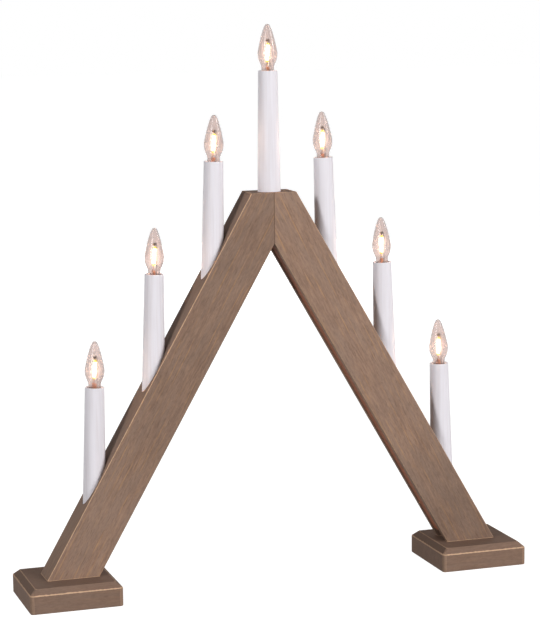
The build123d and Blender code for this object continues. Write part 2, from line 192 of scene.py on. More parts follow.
def power(name, description, watts):
    return FloatProperty(name=name, description=description, unit="POWER", min=0, default=watts)


def level(name, description, default):
    return FloatProperty(name=name, description=description, min=0, default=default)


class WoodSettings(bpy.types.PropertyGroup):
    """Stain, grain, bare edges and painted edge highlights of the boards and feet."""

    stain: colour("Stain", "Grey-brown stain on the side grain", (153, 125, 107))
    stain_dark: colour("Dark stain", "Where the soft wood takes more stain", (136, 110, 95))
    stain_grey: colour("Grey stain", "Cooler patches of the stain", (144, 121, 107))
    tan: colour("Tan streaks", "Hard wood that shows through the stain", (180, 139, 100))
    end_grain: colour("End grain", "Stain on cut ends", (136, 113, 100))
    # The bare-wood colour of the edges and its width below also paint the edges' highlights.
    worn_and_highlight: colour("Worn edge", "Bare wood at rubbed edges", (218, 180, 148))
    joint_line: colour("Joint line", "Fine shadow in the mitre", (84, 64, 53))
    worn_and_highlight_width: length("Worn width", "Width of the rubbed edges", 0.55)
    ring_spacing: length("Ring spacing", "Distance between growth rings", 4.2)


class StripSettings(bpy.types.PropertyGroup):
    """Hardboard strips and the plain parts inside the wood."""

    strip: colour("Strip", "Red-brown hardboard", (156, 92, 60))
    dowel: colour("Dowel", "Plain beech", (196, 164, 122))
    wire: colour("Wire", "Sheath of the wires", (222, 218, 208))
    splice: colour("Splice", "Sleeves of the splices", (168, 48, 40))
    screw: colour("Screw", "Plated steel of the foot screws", (196, 190, 172))


class TubeSettings(bpy.types.PropertyGroup):
    """Satin candle tubes and the lampholders inside them."""

    shell: colour("Tube", "Satin white plastic", (243, 239, 245))
    shade: colour("Tube shade", "Faint streaks in the plastic", (234, 228, 233))
    holder: colour("Lampholder", "Brown-black moulded plastic", (90, 62, 48))
    brass: colour("Brass", "Rolled brass shell", (214, 160, 92))
    bronze: colour("Bronze", "Sprung contacts and terminals", (206, 150, 96))


class BulbSettings(bpy.types.PropertyGroup):
    """Clear bulbs with one lit filament stick."""

    glass: colour("Glass", "Faint warm grey of the glass", (236, 226, 223))
    # The cap is plated nickel; part of its warm tint is a painted warm reflection.
    cap: colour("Cap", "Plated screw cap", (218, 188, 156))
    solder: colour("Solder", "Solder tip of the cap", (150, 148, 144))
    insulator: colour("Insulator", "Dark glass round the solder tip", (96, 94, 92))
    copper: colour("Copper", "Lead wires", (166, 104, 70))
    clamp: colour("Clamp", "Scorched clamp and wire at the top of the filament", (92, 64, 44))
    bead: colour("Bead", "Copper-brown bead that holds the wires", (196, 132, 94))
    light: colour("Light", "Colour of the lit filament", (255, 218, 186))
    phosphor: colour("Filament ends", "Yellow coating at the cool ends", (255, 220, 50))
    glow: level("Glow", "Strength of the lit filament", 62)
    segments: IntProperty(name="Segments", description="Steps round the turned pieces", min=24, default=72)


class StudioSettings(bpy.types.PropertyGroup):
    """Floor, backdrop and lamps."""

    floor: colour("Floor", "Grey that the pale floor throws back", (160, 160, 160))
    room: level("Room light", "Even light from all sides", 0.07)
    mirrored: level("Mirrored room", "How bright the room looks in gloss", 0.55)
    key: power("Key lamp", "Power of the front lamp", 57)
    side: power("Side lamp", "Power of the left lamp", 14)
    back: power("Back lamp", "Power of the lamp behind", 34)
    soft_boxes: power("Soft boxes", "Power of the two soft boxes that gloss and glass show", 11)


class ArchSettings(bpy.types.PropertyGroup):
    """All finishes of the candle arch."""

    wood: PointerProperty(type=WoodSettings)
    strips: PointerProperty(type=StripSettings)
    tubes: PointerProperty(type=TubeSettings)
    bulbs: PointerProperty(type=BulbSettings)
    studio: PointerProperty(type=StudioSettings)


class Nodes:
    """A shader tree whose nodes are added and joined one after another."""

    def __init__(self, tree):
        self.tree = tree
        self.tree.nodes.clear()

    def fill(self, socket, value):
        """Set a socket to a value, or link it to another node's socket."""
        if isinstance(value, bpy.types.NodeSocket):
            self.tree.links.new(value, socket)
        elif socket.type == "RGBA" and len(value) == 3:
            socket.default_value = (*value, 1)
        else:
            socket.default_value = value

    def add(self, kind, inputs=None, **settings):
        node = self.tree.nodes.new("ShaderNode" + kind)
        for name, value in settings.items():
            setattr(node, name, value)
        for name, value in (inputs or {}).items():
            self.fill(node.inputs[name], value)
        return node

    def maths(self, operation, *values):
        return self.add("Math", dict(enumerate(values)), operation=operation).outputs[0]

    def plus(self, first, second):
        return self.maths("ADD", first, second)

    def minus(self, first, second):
        return self.maths("SUBTRACT", first, second)

    def times(self, first, second):
        return self.maths("MULTIPLY", first, second)

    def times_plus(self, first, second, added):
        return self.maths("MULTIPLY_ADD", first, second, added)

    def least(self, first, second):
        return self.maths("MINIMUM", first, second)

    def most(self, first, second):
        return self.maths("MAXIMUM", first, second)

    def size(self, value):
        return self.maths("ABSOLUTE", value)

    def distance(self, first, second):
        return self.size(self.minus(first, second))

    def split(self, vector):
        return self.add("SeparateXYZ", {0: vector}).outputs

    def join(self, x, y, z):
        return self.add("CombineXYZ", {0: x, 1: y, 2: z}).outputs[0]

    def surroundings(self, mirrored, elsewhere):
        """Full strength to the camera and through glass, less in gloss, and an even level elsewhere."""
        path = self.add("LightPath")
        strength = elsewhere
        for ray, share in (("Is Camera Ray", 1.0), ("Is Transmission Ray", 1.0), ("Is Glossy Ray", mirrored)):
            strength = self.most(self.times(path.outputs[ray], share), strength)
        return strength


class Finish(Nodes):
    """A material made of nodes, placed by a point's coordinates on the arch."""

    def __init__(self, name):
        self.material = bpy.data.materials.new(name)
        self.material.use_nodes = True
        super().__init__(self.material.node_tree)
        self.coordinates = self.add("TexCoord")

    @property
    def place(self):
        return self.coordinates.outputs["Object"]

    @property
    def facing(self):
        return self.split(self.coordinates.outputs["Normal"])

    def along(self, direction, start):
        """How far a point lies from a start along a direction."""
        moved = self.add("VectorMath", {0: self.place, 1: start}, operation="SUBTRACT").outputs[0]
        return self.add("VectorMath", {0: moved, 1: direction}, operation="DOT_PRODUCT").outputs["Value"]

    def stretched(self, along_x, along_y, along_z):
        """A point's place with each coordinate scaled on its own, for noise drawn out along one of them."""
        scales = (along_x, along_y, along_z)
        return self.join(*(self.times(value, scale) for value, scale in zip(self.split(self.place), scales)))

    def noise(self, vector, scale=1.0, detail=2.0, roughness=0.5, distortion=0.0):
        inputs = {"Vector": vector, "Scale": scale, "Detail": detail}
        inputs.update({"Roughness": roughness, "Distortion": distortion})
        return self.add("TexNoise", inputs).outputs["Fac"]

    def slide(self, value, low, high, start=0.0, end=1.0):
        """A smooth step of a value between two levels."""
        inputs = {"Value": value, "From Min": low, "From Max": high, "To Min": start, "To Max": end}
        return self.add("MapRange", inputs, interpolation_type="SMOOTHSTEP").outputs["Result"]

    def mix(self, share, first, second):
        node = self.add("Mix", data_type="RGBA")
        for index, value in ((0, share), (6, first), (7, second)):
            self.fill(node.inputs[index], value)
        return node.outputs[2]

    def mottled(self, noise, first, second, high=0.7):
        """One colour that goes over into another where a noise is high."""
        return self.mix(self.slide(noise, 0.35, high), first, second)

    def bump(self, height, distance, strength):
        return self.add("Bump", {"Height": height, "Distance": distance, "Strength": strength}).outputs[0]

    def close(self, shader):
        """Join the last shader to the output and hand over the material."""
        output = self.add("OutputMaterial", {"Surface": shader.outputs[0]})
        output.target = "ALL"
        return self.material

    def surface(self, **inputs):
        """Close with one Principled shader."""
        named = {name.replace("_", " "): value for name, value in inputs.items()}
        return self.close(self.add("BsdfPrincipled", named))


def wood_grain(finish, wood, place, pith, slant, figure, tone):
    """Colour, height and fibres of side grain, from a point's place along, into and across the wood."""
    along, depth, across = place
    slanted = finish.times_plus(along, -slant, across)

    def fibres(length_scale, width_scale, detail, roughness):
        drawn_out = finish.join(
            finish.times(along, length_scale),
            finish.times(depth, width_scale),
            finish.times(slanted, width_scale),
        )
        return finish.noise(drawn_out, detail=detail, roughness=roughness)

    def wander(fibre, reach):
        return finish.times(finish.minus(fibres(*fibre), 0.5), reach)

    fine, streaks, broad = fibres(*FINE_FIBRES), fibres(*STREAKS), fibres(*BROAD_BANDS)
    off = finish.plus(wander(RING_SWAY, SWAY_REACH), wander(RING_JAGS, JAG_REACH))
    squares = [
        finish.maths("POWER", finish.plus(finish.minus(value, centre), off), 2.0)
        for value, centre in zip((depth, slanted), pith)
    ]
    radius = finish.maths("SQRT", finish.plus(*squares))
    ring = finish.maths("FRACT", finish.maths("DIVIDE", radius, wood.ring_spacing))
    late = finish.times(finish.slide(ring, 0.7, 0.88), finish.slide(ring, 0.92, 1.0, start=1.0, end=0.0))
    late = finish.times(late, finish.slide(fibres(*RING_BREAKS), 0.44, 0.66))

    spread = 0.2 + 0.3 * figure
    streaked = finish.slide(streaks, 0.3, 0.7, start=0.5 - spread, end=0.5 + spread)
    body = finish.mix(streaked, wood.stain_dark, wood.stain)
    body = finish.mix(finish.times(finish.slide(broad, 0.62, 0.38), 0.6), body, wood.stain_grey)
    body = finish.mix(finish.times(late, 0.55 * figure), body, wood.tan)
    strands = finish.times(finish.slide(fine, 0.54, 0.74), 0.28 * figure)
    body = finish.mix(strands, body, wood.tan)
    pores = finish.times(finish.slide(fine, 0.47, 0.28), 0.4 + 0.3 * figure)
    body = finish.mix(pores, body, shaded(wood.stain_dark, 0.78))

    blotches = finish.noise(finish.place, scale=45.0, detail=3.0, roughness=0.6)
    blotchy = finish.slide(blotches, 0.3, 0.7, start=0.95, end=1.05)
    flecked = finish.slide(fibres(*FLECKS), 0.3, 0.7, start=0.94, end=1.06)
    value = finish.times(finish.times(blotchy, flecked), tone)
    toned = finish.add("HueSaturation", {"Value": value, "Color": body}).outputs[0]
    height = finish.plus(finish.times(fine, 0.6), finish.times(late, 0.4))
    return toned, height, fine


def end_grain(finish, wood):
    """Darker colour of a cut end, with the pores as fine dots."""
    dots = finish.noise(finish.place, scale=1500.0, detail=2.0, roughness=0.7)
    patches = finish.noise(finish.place, scale=120.0, detail=3.0)
    ends = finish.mottled(dots, shaded(wood.end_grain, 0.75), wood.end_grain)
    return finish.mix(finish.times(finish.slide(patches, 0.35, 0.75), 0.35), ends, wood.stain)


def worn_and_highlight(finish, distance, width, breakup):
    """How bare an edge is, and how much painted highlight it gets, from the distance to it and some noise."""
    ragged = finish.times_plus(breakup, 1.5 * width, finish.plus(distance, -0.75 * width))
    return finish.slide(ragged, 0.35 * width, width, start=1.0, end=0.0)


def stained_surface(finish, body, height, fine):
    """Close a finish as open-grained wood with a dull stain."""
    return finish.surface(
        Base_Color=body,
        Roughness=finish.slide(fine, 0.3, 0.7, start=0.75, end=0.6),
        Specular_IOR_Level=WOOD_SPECULAR,
        Normal=finish.bump(height, GRAIN_RELIEF, 0.5),
    )


def board_finish(name, wood, side, pith, slant, tones, rubbed_and_lit):
    """Stained wood whose grain runs up one board."""
    finish = Finish(f"{name}_board")
    low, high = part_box(f"{name}_board")
    foot_top, apex, half_depth, half_width = low.z, high.z, high.y, BOARD_WIDTH / 2
    inner_edge = (high.x if side > 0 else low.x) - side * BOARD_WIDTH / math.sin(SLOPE)
    start = (inner_edge, 0, foot_top)
    along = finish.along((-side * math.cos(SLOPE), 0, math.sin(SLOPE)), start)
    across = finish.along((side * math.sin(SLOPE), 0, math.cos(SLOPE)), start)
    x, depth, z = finish.split(finish.place)
    board_length = (apex - foot_top) / math.sin(SLOPE)
    tone = finish.slide(along, 0.02 * board_length, 0.4 * board_length, *tones)
    side_grain, height, fine = wood_grain(
        finish, wood, (along, depth, across), pith, slant, figure=1.0, tone=tone
    )

    normal_x, _, normal_z = finish.facing
    flat_top = finish.slide(normal_z, 0.8, 0.9)
    # Bare wood along the edges, also painted as the edges' highlight; the left board's outer edge gets the
    # most.
    breakup = finish.noise(finish.place, scale=420.0, detail=3.0)
    to_face = finish.minus(half_depth, finish.size(depth))
    to_side = finish.minus(half_width, finish.distance(across, half_width))
    to_long_edge = finish.minus(finish.most(to_side, to_face), 0.3 * BOARD_EDGE_ROUND)
    share = finish.slide(across, half_width, half_width + MM, *rubbed_and_lit)
    long_wear_and_highlight = finish.times(worn_and_highlight(finish, to_long_edge, wood.worn_and_highlight_width, breakup), share)
    to_foot = finish.minus(z, foot_top)
    to_apex = finish.plus(finish.minus(apex, z), flat_top)
    end_wear_and_highlight = worn_and_highlight(finish, finish.least(to_foot, to_apex), 0.7 * wood.worn_and_highlight_width, breakup)
    to_top_edge = finish.least(to_face, finish.minus(BOARD_WIDTH, across))
    top_wear_and_highlight = finish.times(worn_and_highlight(finish, to_top_edge, wood.worn_and_highlight_width, breakup), flat_top)
    wear_and_highlight = finish.most(long_wear_and_highlight, finish.most(end_wear_and_highlight, top_wear_and_highlight))

    body = finish.mix(flat_top, side_grain, end_grain(finish, wood))
    # Painted shade: the outer sides are made darker and greyer.
    outwards = finish.times_plus(normal_x, side * math.sin(SLOPE), finish.times(normal_z, math.cos(SLOPE)))
    outer_side_shade = finish.slide(outwards, 0.85, 0.97, start=0.0, end=0.5)
    body = finish.mix(outer_side_shade, body, shaded(wood.stain_grey, 0.68))
    # Bare wood and painted highlight along the edges.
    body = finish.mix(finish.times(wear_and_highlight, 0.85), body, wood.worn_and_highlight)
    mitre = finish.slide(finish.size(x), 0.1 * MM, 0.5 * MM, start=0.75, end=0.0)
    body = finish.mix(mitre, body, wood.joint_line)
    return stained_surface(finish, body, height, fine)


def foot_finish(name, wood, shift):
    """Stained wood whose grain runs along one foot."""
    finish = Finish(f"{name}_foot")
    low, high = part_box(f"{name}_foot")
    x, y, z = finish.split(finish.place)
    middle = (low.x + high.x) / 2
    half_length, half_depth, top = (high.x - low.x) / 2, (high.y - low.y) / 2, high.z
    side_grain, height, fine = wood_grain(
        finish, wood, (finish.plus(x, shift), y, z), FOOT_PITH, slant=0.0, figure=0.3, tone=1.0
    )

    from_x, from_y = finish.distance(x, middle), finish.size(y)
    normal_x, _, normal_z = finish.facing
    cut_end = finish.slide(finish.size(normal_x), 0.55, 0.72)
    # Bare wood along the edges, also painted as their highlight, brightest on the lower chamfer edge and at
    # the corners.
    breakup = finish.noise(finish.place, scale=380.0, detail=3.0)
    width = wood.worn_and_highlight_width
    inset_x, inset_y = half_length - FOOT_CHAMFER_RUN, half_depth - FOOT_CHAMFER_RUN
    past_inset = finish.minus(from_x, inset_x)
    to_lower = finish.distance(z, top - FOOT_CHAMFER_DROP)
    in_plan = finish.least(finish.minus(inset_x, from_x), finish.minus(inset_y, from_y))
    to_upper = finish.most(finish.minus(top, z), in_plan)
    to_corner = finish.most(
        finish.minus(half_length - FOOT_CORNER_ROUND, from_x),
        finish.minus(half_depth - FOOT_CORNER_ROUND, from_y),
    )
    on_end = finish.slide(past_inset, 0.0, 2 * MM, start=1.0, end=0.6)
    lower_wear_and_highlight = finish.times(worn_and_highlight(finish, to_lower, 1.3 * width, breakup), on_end)
    floor_wear_and_highlight = finish.times(worn_and_highlight(finish, z, 0.7 * width, breakup), 0.5)
    at_end = finish.slide(past_inset, -2 * MM, -1 * MM, start=0.06, end=0.4)
    upper_wear_and_highlight = finish.times(worn_and_highlight(finish, to_upper, 0.9 * width, breakup), at_end)
    corner_wear_and_highlight = finish.times(worn_and_highlight(finish, to_corner, 0.8 * width, breakup), 0.12)
    wear_and_highlight = finish.most(finish.most(lower_wear_and_highlight, floor_wear_and_highlight), finish.most(upper_wear_and_highlight, corner_wear_and_highlight))

    body = finish.mix(cut_end, side_grain, end_grain(finish, wood))
    body = finish.mix(0.3, body, shaded(wood.stain_dark, 0.7))
    # Painted shade: the flat tops are made darker.
    flat_top = finish.slide(normal_z, 0.8, 0.95, start=0.0, end=0.6)
    body = finish.mix(flat_top, body, shaded(wood.stain_dark, 0.72))
    bevelled_end = finish.times(cut_end, finish.slide(normal_z, 0.2, 0.5, start=0.0, end=0.8))
    body = finish.mix(bevelled_end, body, shaded(wood.stain_dark, 0.5))
    # Bare wood and painted highlight, fullest at the corners.
    wear_and_highlight_level = finish.slide(to_corner, 0.0, 5 * MM, start=1.0, end=0.78)
    body = finish.mix(finish.times(wear_and_highlight, wear_and_highlight_level), body, shaded(wood.worn_and_highlight, 1.15))
    return stained_surface(finish, body, height, fine)


def hardboard_finish(strips):
    """Pressed brown fibres."""
    finish = Finish("hardboard")
    fibres = finish.noise(finish.place, scale=900.0, detail=4.0, roughness=0.7, distortion=0.6)
    clouds = finish.noise(finish.place, scale=70.0, detail=2.0)
    body = finish.mix(finish.slide(fibres, 0.3, 0.7), shaded(strips.strip, 0.72), strips.strip)
    body = finish.mix(finish.times(clouds, 0.3), body, shaded(strips.strip, 1.25))
    return finish.surface(Base_Color=body, Roughness=0.7, Normal=finish.bump(fibres, 0.05 * MM, 0.4))


def dowel_finish(strips):
    """Unstained dowel wood, with its grain along the dowels."""
    finish = Finish("dowel_wood")
    flecks = finish.noise(finish.stretched(60.0, 1400.0, 1400.0), detail=3.0)
    body = finish.mottled(flecks, strips.dowel, shaded(strips.dowel, 0.7))
    return finish.surface(Base_Color=body, Roughness=0.65, Normal=finish.bump(flecks, 0.05 * MM, 0.3))


def sheath_finish(name, sheath, roughness):
    """Soft plastic of a wire or a sleeve, slightly dusty."""
    finish = Finish(name)
    dust = finish.noise(finish.place, scale=260.0, detail=3.0)
    return finish.surface(
        Base_Color=finish.mottled(dust, sheath, shaded(sheath, 0.82)),
        Roughness=finish.slide(dust, 0.3, 0.7, start=roughness, end=roughness + 0.15),
        Normal=finish.bump(dust, 0.02 * MM, 0.2),
    )


def metal_finish(name, metal, roughness):
    """Rolled or plated metal with fine marks and a little tarnish."""
    finish = Finish(name)
    marks = finish.noise(finish.place, scale=500.0, detail=4.0, roughness=0.6)
    tarnish = finish.noise(finish.place, scale=100.0, detail=2.0)
    tarnished = finish.times(finish.slide(tarnish, 0.4, 0.75), 0.5)
    return finish.surface(
        Base_Color=finish.mix(tarnished, metal, shaded(metal, 0.55)),
        Metallic=1.0,
        Roughness=finish.slide(marks, 0.3, 0.7, start=roughness, end=roughness + 0.16),
        Normal=finish.bump(marks, 0.01 * MM, 0.3),
    )


def tube_finish(tubes):
    """Satin extruded plastic with faint lines along it."""
    finish = Finish("white_tube")
    lines = finish.noise(finish.stretched(420.0, 420.0, 9.0), detail=3.0, roughness=0.6)
    clouds = finish.noise(finish.place, scale=60.0, detail=2.0)
    return finish.surface(
        Base_Color=finish.mottled(lines, tubes.shell, tubes.shade, high=0.75),
        Roughness=finish.slide(clouds, 0.3, 0.7, start=0.38, end=0.44),
        Specular_IOR_Level=0.4,
        Normal=finish.bump(lines, 0.02 * MM, 0.12),
    )


def holder_finish(tubes):
    """Moulded brown-black plastic."""
    finish = Finish("holder_plastic")
    mottle = finish.noise(finish.place, scale=900.0, detail=3.0)
    body = finish.mottled(mottle, tubes.holder, shaded(tubes.holder, 1.5))
    return finish.surface(Base_Color=body, Roughness=0.45, Normal=finish.bump(mottle, 0.02 * MM, 0.3))


def glass_finish(bulbs):
    """Clear blown glass that lets the lamps through, with a film inside that spreads the filament's light."""
    finish = Finish("clear_glass")
    waves = finish.noise(finish.place, scale=55.0, detail=1.0)
    smears = finish.noise(finish.place, scale=200.0, detail=2.0)
    glass_settings = {
        "Base Color": tuple(bulbs.glass),
        "Roughness": finish.slide(smears, 0.4, 0.8, start=0.1, end=0.13),
        "IOR": 1.5,
        "Transmission Weight": 1.0,
        "Normal": finish.bump(waves, 0.2 * MM, 0.12),
    }
    glass = finish.add("BsdfPrincipled", glass_settings)
    film = finish.add("BsdfGlass", {"Color": tuple(bulbs.glass), "Roughness": 0.62, "IOR": 1.5})
    inner_face = finish.add("NewGeometry").outputs["Backfacing"]
    filmed = finish.times(inner_face, finish.slide(smears, 0.3, 0.8, start=0.28, end=0.36))
    hazy = finish.add("MixShader", {0: filmed, 1: glass.outputs[0], 2: film.outputs[0]})
    clear = finish.add("BsdfTransparent", {"Color": (0.96, 0.95, 0.94)})
    shadow = finish.add("LightPath").outputs["Is Shadow Ray"]
    return finish.close(finish.add("MixShader", {0: shadow, 1: hazy.outputs[0], 2: clear.outputs[0]}))


def stick_finish(bulbs):
    """Phosphor coating, lit along the middle and plain yellow at its ends."""
    finish = Finish("filament_stick")
    from_middle = finish.size(finish.split(finish.place)[2])
    cool_from = STICK_HALF_LENGTH - 1.6 * MM
    end = finish.slide(from_middle, STICK_HALF_LENGTH - 2.1 * MM, cool_from)
    strength = finish.slide(from_middle, STICK_HALF_LENGTH - 2.2 * MM, cool_from, start=bulbs.glow, end=0.9)
    beads = finish.noise(finish.place, scale=1800.0, detail=1.0)
    body = finish.mix(end, bulbs.light, bulbs.phosphor)
    return finish.surface(
        Base_Color=body,
        Roughness=0.5,
        Emission_Color=body,
        Emission_Strength=strength,
        Normal=finish.bump(beads, 0.05 * MM, 0.3),
    )


def bead_finish(bulbs):
    """Copper-brown fused glass, with a painted glow for the filament's light from above."""
    finish = Finish("stem_bead")
    swirls = finish.noise(finish.place, scale=900.0, detail=2.0)
    body = finish.mottled(swirls, bulbs.bead, shaded(bulbs.bead, 0.7))
    return finish.surface(
        Base_Color=body,
        Roughness=0.25,
        # Painted glow for the filament's light on the bead.
        Emission_Color=body,
        Emission_Strength=0.08,
        Normal=finish.bump(swirls, 0.05 * MM, 0.3),
    )


def button_finish(bulbs):
    """Dark glass round a solder tip."""
    finish = Finish("tip_contact")
    marks = finish.noise(finish.place, scale=700.0, detail=3.0)
    return finish.surface(
        Base_Color=finish.mottled(marks, bulbs.solder, bulbs.insulator),
        Metallic=0.8,
        Roughness=finish.slide(marks, 0.3, 0.7, start=0.25, end=0.45),
    )


def placement(x_way, y_way, z_way, place):
    """The matrix that puts a thing at a place, with its X, Y and Z along three directions."""
    columns = (x_way, y_way, z_way, place)
    return Matrix([[column[row] for column in columns] for row in range(3)] + [[0, 0, 0, 1]])


def candle_frame(number):
    """Where a candle's rim centre is, with Z along its axis and Y to the back."""
    hinge = next(joint for joint in frame["joints"] if joint["name"] == f"bulb_{number}_turn")
    up = Vector(hinge["axis"])
    right = Vector((up.z, 0, -up.x))
    return placement(right, up.cross(right), up, Vector(hinge["pos_m"]))


def dress(node, material):
    """Give a CAD node a finish."""
    for holder in frame["nodes"][node].material_slots:
        holder.material = material


def add_piece(name, mesh, place, body, material, slot, *nodes):
    """Put a made mesh in place of CAD nodes, riding on a body."""
    piece = bpy.data.objects.new(name, mesh)
    bpy.context.scene.collection.objects.link(piece)
    piece.matrix_world = place
    mesh.materials.clear()
    mesh.materials.append(material)
    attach(piece, body)
    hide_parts(*nodes)


def smooth(mesh, sharp_degrees=35):
    mesh.shade_smooth()
    mesh.set_sharp_from_angle(angle=math.radians(sharp_degrees))
    return mesh


def turned(name, outline, segments, closed=True, thread=None):
    """Turn a closed outline of (radius, height) points, or an open one that runs from axis to axis.

    The thread says how far each point moves in or out.
    """
    points, faces = [], []
    for radius, height in outline:
        for step in range(segments):
            angle = math.tau * step / segments
            reach = radius + (thread(radius, height, angle) if thread else 0)
            points.append((reach * math.cos(angle), reach * math.sin(angle), height))
    rows = len(outline)
    for row in range(rows if closed else rows - 1):
        here, after = row * segments, (row + 1) % rows * segments
        for step in range(segments):
            beside = (step + 1) % segments
            faces.append((here + step, here + beside, after + beside, after + step))
    if not closed:
        faces += [tuple(reversed(range(segments))), tuple(range((rows - 1) * segments, rows * segments))]
    mesh = bpy.data.meshes.new(name)
    mesh.from_pydata(points, [], faces)
    mesh.validate()
    mesh.update()
    return smooth(mesh)


def turned_solid(name, outline, segments):
    """Turn an outline in millimetres that starts and ends at the axis."""
    return turned(name, [(radius * MM, height * MM) for radius, height in outline], segments, closed=False)


def screw_wave(low, high, depth):
    """A right-handed rolled thread between two heights, cut inwards by its depth."""
    def cut(height, angle):
        if not low < height < high:
            return 0
        ends = min(1, (height - low) / THREAD_FADE, (high - height) / THREAD_FADE)
        phase = height / THREAD_PITCH - angle / math.tau
        return -depth * ends * (0.5 - 0.5 * math.cos(math.tau * phase))

    return cut


def rows_between(radius, start, end, count):
    """Outline points at one radius, evenly spaced from one height to another."""
    return [(radius, start + (end - start) * step / count) for step in range(count + 1)]


def cap_mesh(segments):
    """A bulb's screw cap: collar, rolled thread, cone and end ring."""
    low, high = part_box(f"bulb_cap_{TOP_CANDLE}")
    rim = candle_frame(TOP_CANDLE).translation.z
    top, bottom = high.z - rim, low.z - rim
    collar = (high.x - low.x) / 2
    collar_end, thread_end = top - MM, bottom + CAP_CONE_HEIGHT
    outline = [
        (CAP_INSIDE, top),
        (collar - CAP_EDGE, top),
        (collar, top - CAP_EDGE),
        (collar, collar_end + CAP_EDGE),
        (collar - CAP_EDGE, collar_end),
        *rows_between(CAP_THREAD_RADIUS, collar_end - 0.1 * MM, thread_end, CAP_THREAD_STEPS),
        (CAP_CONE_RADIUS, bottom + 0.1 * MM),
        (CAP_RING_RADIUS, bottom),
        (CAP_RING_HOLE, bottom),
        (CAP_RING_HOLE, bottom + CAP_WALL),
        (CAP_RING_RADIUS, bottom + CAP_WALL),
        (CAP_INSIDE, thread_end + CAP_WALL),
    ]
    cut = screw_wave(thread_end, collar_end, CAP_THREAD_DEPTH)

    def threaded(radius, height, angle):
        return cut(height, angle) if abs(radius - CAP_THREAD_RADIUS) < SAME_RADIUS else 0

    return turned("bulb_cap", outline[::-1], segments, thread=threaded)


def shell_mesh(segments):
    """A lampholder's brass shell, rolled so that the cap's thread runs in it."""
    outside = SHELL_INSIDE + SHELL_WALL
    sides_end = SHELL_FLOOR + 0.6 * MM
    outline = [
        *rows_between(SHELL_INSIDE, SHELL_TOP, sides_end, SHELL_THREAD_STEPS),
        (SHELL_INSIDE - 0.4 * MM, SHELL_FLOOR + SHELL_WALL),
        (SHELL_HOLE, SHELL_FLOOR + SHELL_WALL),
        (SHELL_HOLE, SHELL_FLOOR),
        (outside, SHELL_FLOOR),
        *rows_between(outside, SHELL_TOP, sides_end, SHELL_THREAD_STEPS)[::-1],
    ]
    cut = screw_wave(SHELL_FLOOR + 1.6 * MM, SHELL_TOP - 0.5 * MM, SHELL_THREAD_DEPTH)

    def rolled(radius, height, angle):
        return cut(height, angle) if radius > SHELL_INSIDE - SAME_RADIUS else 0

    return turned("holder_shell", outline[::-1], segments, thread=rolled)


def wire_mesh(name, bends, thickness):
    """A round wire along a smooth line through its bends."""
    line = bpy.data.curves.new(name, "CURVE")
    line.dimensions = "3D"
    line.bevel_depth = thickness / 2
    line.bevel_resolution = 3
    line.use_fill_caps = True
    spline = line.splines.new("NURBS")
    spline.points.add(len(bends) - 1)
    for target, (x, z) in zip(spline.points, bends):
        target.co = (x * MM, 0, z * MM, 1)
    spline.order_u = 3
    spline.use_endpoint_u = True
    spline.resolution_u = 6
    drawn = bpy.data.objects.new(name, line)
    mesh = bpy.data.meshes.new_from_object(drawn)
    bpy.data.objects.remove(drawn)
    return smooth(mesh, sharp_degrees=60)


def stick_mesh():
    """The filament stick about the origin, with rounded ends."""
    lower_end = [(AXIS * MM, -STICK_HALF_LENGTH)]
    for degrees in range(0, 91, 15):
        turn = math.radians(degrees)
        radius = STICK_RADIUS - STICK_END_ROUND + STICK_END_ROUND * math.sin(turn)
        height = -STICK_HALF_LENGTH + STICK_END_ROUND - STICK_END_ROUND * math.cos(turn)
        lower_end.append((radius, height))
    upper_end = [(radius, -height) for radius, height in lower_end[::-1]]
    return turned("filament_stick", (lower_end + upper_end)[::-1], SMALL_SEGMENTS, closed=False)


class ARCH_OT_woodwork(bpy.types.Operator):
    """Finish the two boards and the two feet in grey-brown stain, with bare edges, painted edge highlights
    and painted shade
    """

    bl_idname = "candle_arch.woodwork"
    bl_label = "Woodwork"

    def execute(self, context):
        wood = context.scene.candle_arch.wood
        for name, board in BOARDS.items():
            dress(f"{name}_board", board_finish(name, wood, **board))
            dress(f"{name}_foot", foot_finish(name, wood, FOOT_SHIFTS[name]))
        return {"FINISHED"}


class ARCH_OT_strips(bpy.types.Operator):
    """Finish the cover strips, dowels, wires, splices and screws"""

    bl_idname = "candle_arch.strips"
    bl_label = "Strips, dowels and wires"

    def execute(self, context):
        strips = context.scene.candle_arch.strips
        hardboard = hardboard_finish(strips)
        sheath = sheath_finish("wire_sheath", strips.wire, 0.35)
        for node, finish in (
            ("left_cover_strip", hardboard),
            ("right_cover_strip", hardboard),
            ("mitre_dowels", dowel_finish(strips)),
            ("link_wires", sheath),
            ("supply_wires", sheath),
            ("wire_splices", sheath_finish("splice_sleeve", strips.splice, 0.3)),
            ("foot_screws", metal_finish("screw_steel", strips.screw, 0.28)),
        ):
            dress(node, finish)
        return {"FINISHED"}


class ARCH_OT_tubes(bpy.types.Operator):
    """Finish the seven candle tubes"""

    bl_idname = "candle_arch.tubes"
    bl_label = "Candle tubes"

    def execute(self, context):
        white = tube_finish(context.scene.candle_arch.tubes)
        for number in CANDLES:
            dress(f"candle_tube_{number}", white)
        return {"FINISHED"}


class ARCH_OT_lampholders(bpy.types.Operator):
    """Finish the lampholders and roll a thread into their brass shells"""

    bl_idname = "candle_arch.lampholders"
    bl_label = "Lampholders"

    def execute(self, context):
        tubes = context.scene.candle_arch.tubes
        holder = holder_finish(tubes)
        brass = metal_finish("brass_shell", tubes.brass, 0.22)
        shell = shell_mesh(context.scene.candle_arch.bulbs.segments)
        for number in CANDLES:
            dress(f"lampholder_{number}", holder)
            place = candle_frame(number)
            add_piece(f"threaded_shell_{number}", shell, place, "arch", brass, "brass_shell", "holder_shells")
        dress("holder_contacts", metal_finish("bronze_contact", tubes.bronze, 0.25))
        return {"FINISHED"}


